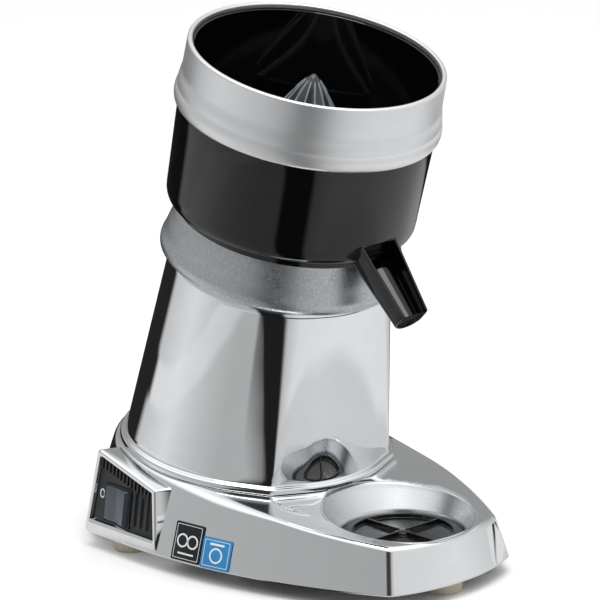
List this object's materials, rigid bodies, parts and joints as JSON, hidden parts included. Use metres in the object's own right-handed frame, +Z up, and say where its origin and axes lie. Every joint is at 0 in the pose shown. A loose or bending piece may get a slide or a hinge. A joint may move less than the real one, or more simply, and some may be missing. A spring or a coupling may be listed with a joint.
{
  "type": "citrus press juicer",
  "caption": "Electric citrus press: ribbed squeezer on a leaning motor tower, black spouted bowl with a metal ring, chromed base with a glass dish and a rocker switch.",
  "frame": {"origin": "on the surface under the middle of the base's length and width", "axes": "+Z up, the glass dish and the spout face -Y, the switch is on the -X side"},
  "size_m": [0.212, 0.304, 0.3485],
  "materials": {
    "chrome": "polished",
    "satin_aluminium": "satin, turned",
    "cast_cover": "satin cast",
    "steel": "brushed",
    "black_plastic": "gloss",
    "black_matte": "matte",
    "grey_rocker": "satin",
    "foot_rubber": "matte",
    "black_rubber": "matte",
    "clear_grey": "gloss, smoky",
    "white_plastic": "matte",
    "core_steel": "laminated",
    "copper": "varnished winding",
    "label_black": "printed film",
    "label_blue": "printed film",
    "plated": "zinc plated"
  },
  "bodies": {
    "body": {"base_casting": "chrome", "bottom_plate": "plated", "bottom_screws": "steel", "feet": "foot_rubber", "foot_screws": "steel", "tower_housing": "chrome", "motor_cover": "cast_cover", "cover_screws": "steel", "shaft_seal": "black_rubber", "upper_end_shield": "cast_cover", "lower_end_shield": "cast_cover", "stator_core": "core_steel", "stator_windings": "copper", "motor_tie_bolts": "steel", "motor_screws": "steel", "upper_bearing": "steel", "lower_bearing": "steel", "capacitor": "white_plastic", "capacitor_clip": "plated", "terminal_block": "white_plastic", "cable_gland": "black_matte", "switch_housing": "chrome", "switch_plate": "black_matte", "switch_body": "black_matte", "dish_lining": "satin_aluminium", "black_label": "label_black", "blue_label": "label_blue"},
    "rotor": {"motor_shaft": "steel", "rotor_core": "core_steel", "cooling_fan": "black_matte", "drive_pin": "steel"},
    "squeezer": {"squeezer": "clear_grey"},
    "strainer": {"strainer": "steel"},
    "bowl": {"bowl": "black_plastic"},
    "ring": {"bowl_ring": "satin_aluminium"},
    "rocker": {"rocker": "grey_rocker"},
    "glass_rest": {"glass_rest": "black_matte"}
  },
  "joints": [
    {"name": "rotor_spin", "type": "hinge", "parent": "body", "child": "rotor", "pos_m": [0, 0.0105, 0.2], "axis": [0, -0.2453, 0.9694], "continuous": true},
    {"name": "squeezer_lift", "type": "slide", "parent": "rotor", "child": "squeezer", "axis": [0, -0.2453, 0.9694], "range_m": [0, 0.15]},
    {"name": "bowl_lift", "type": "slide", "parent": "body", "child": "bowl", "axis": [0, -0.2453, 0.9694], "range_m": [0, 0.06]},
    {"name": "strainer_lift", "type": "slide", "parent": "bowl", "child": "strainer", "axis": [0, -0.2453, 0.9694], "range_m": [0, 0.045]},
    {"name": "ring_lift", "type": "slide", "parent": "bowl", "child": "ring", "axis": [0, -0.2453, 0.9694], "range_m": [0, 0.06]},
    {"name": "rocker_tilt", "type": "hinge", "parent": "body", "child": "rocker", "pos_m": [-0.09518, 0.064, 0.03164], "axis": [0.1478, 0, 0.989], "range_deg": [0, 18]},
    {"name": "rest_lift", "type": "slide", "parent": "body", "child": "glass_rest", "axis": [0, 0, 1], "range_m": [0, 0.05]}
  ],
  "couplings": [
    {"joint": "bowl_lift", "follows": "squeezer_lift", "ratio": 0.4},
    {"joint": "strainer_lift", "follows": "squeezer_lift", "ratio": 0.3}
  ]
}
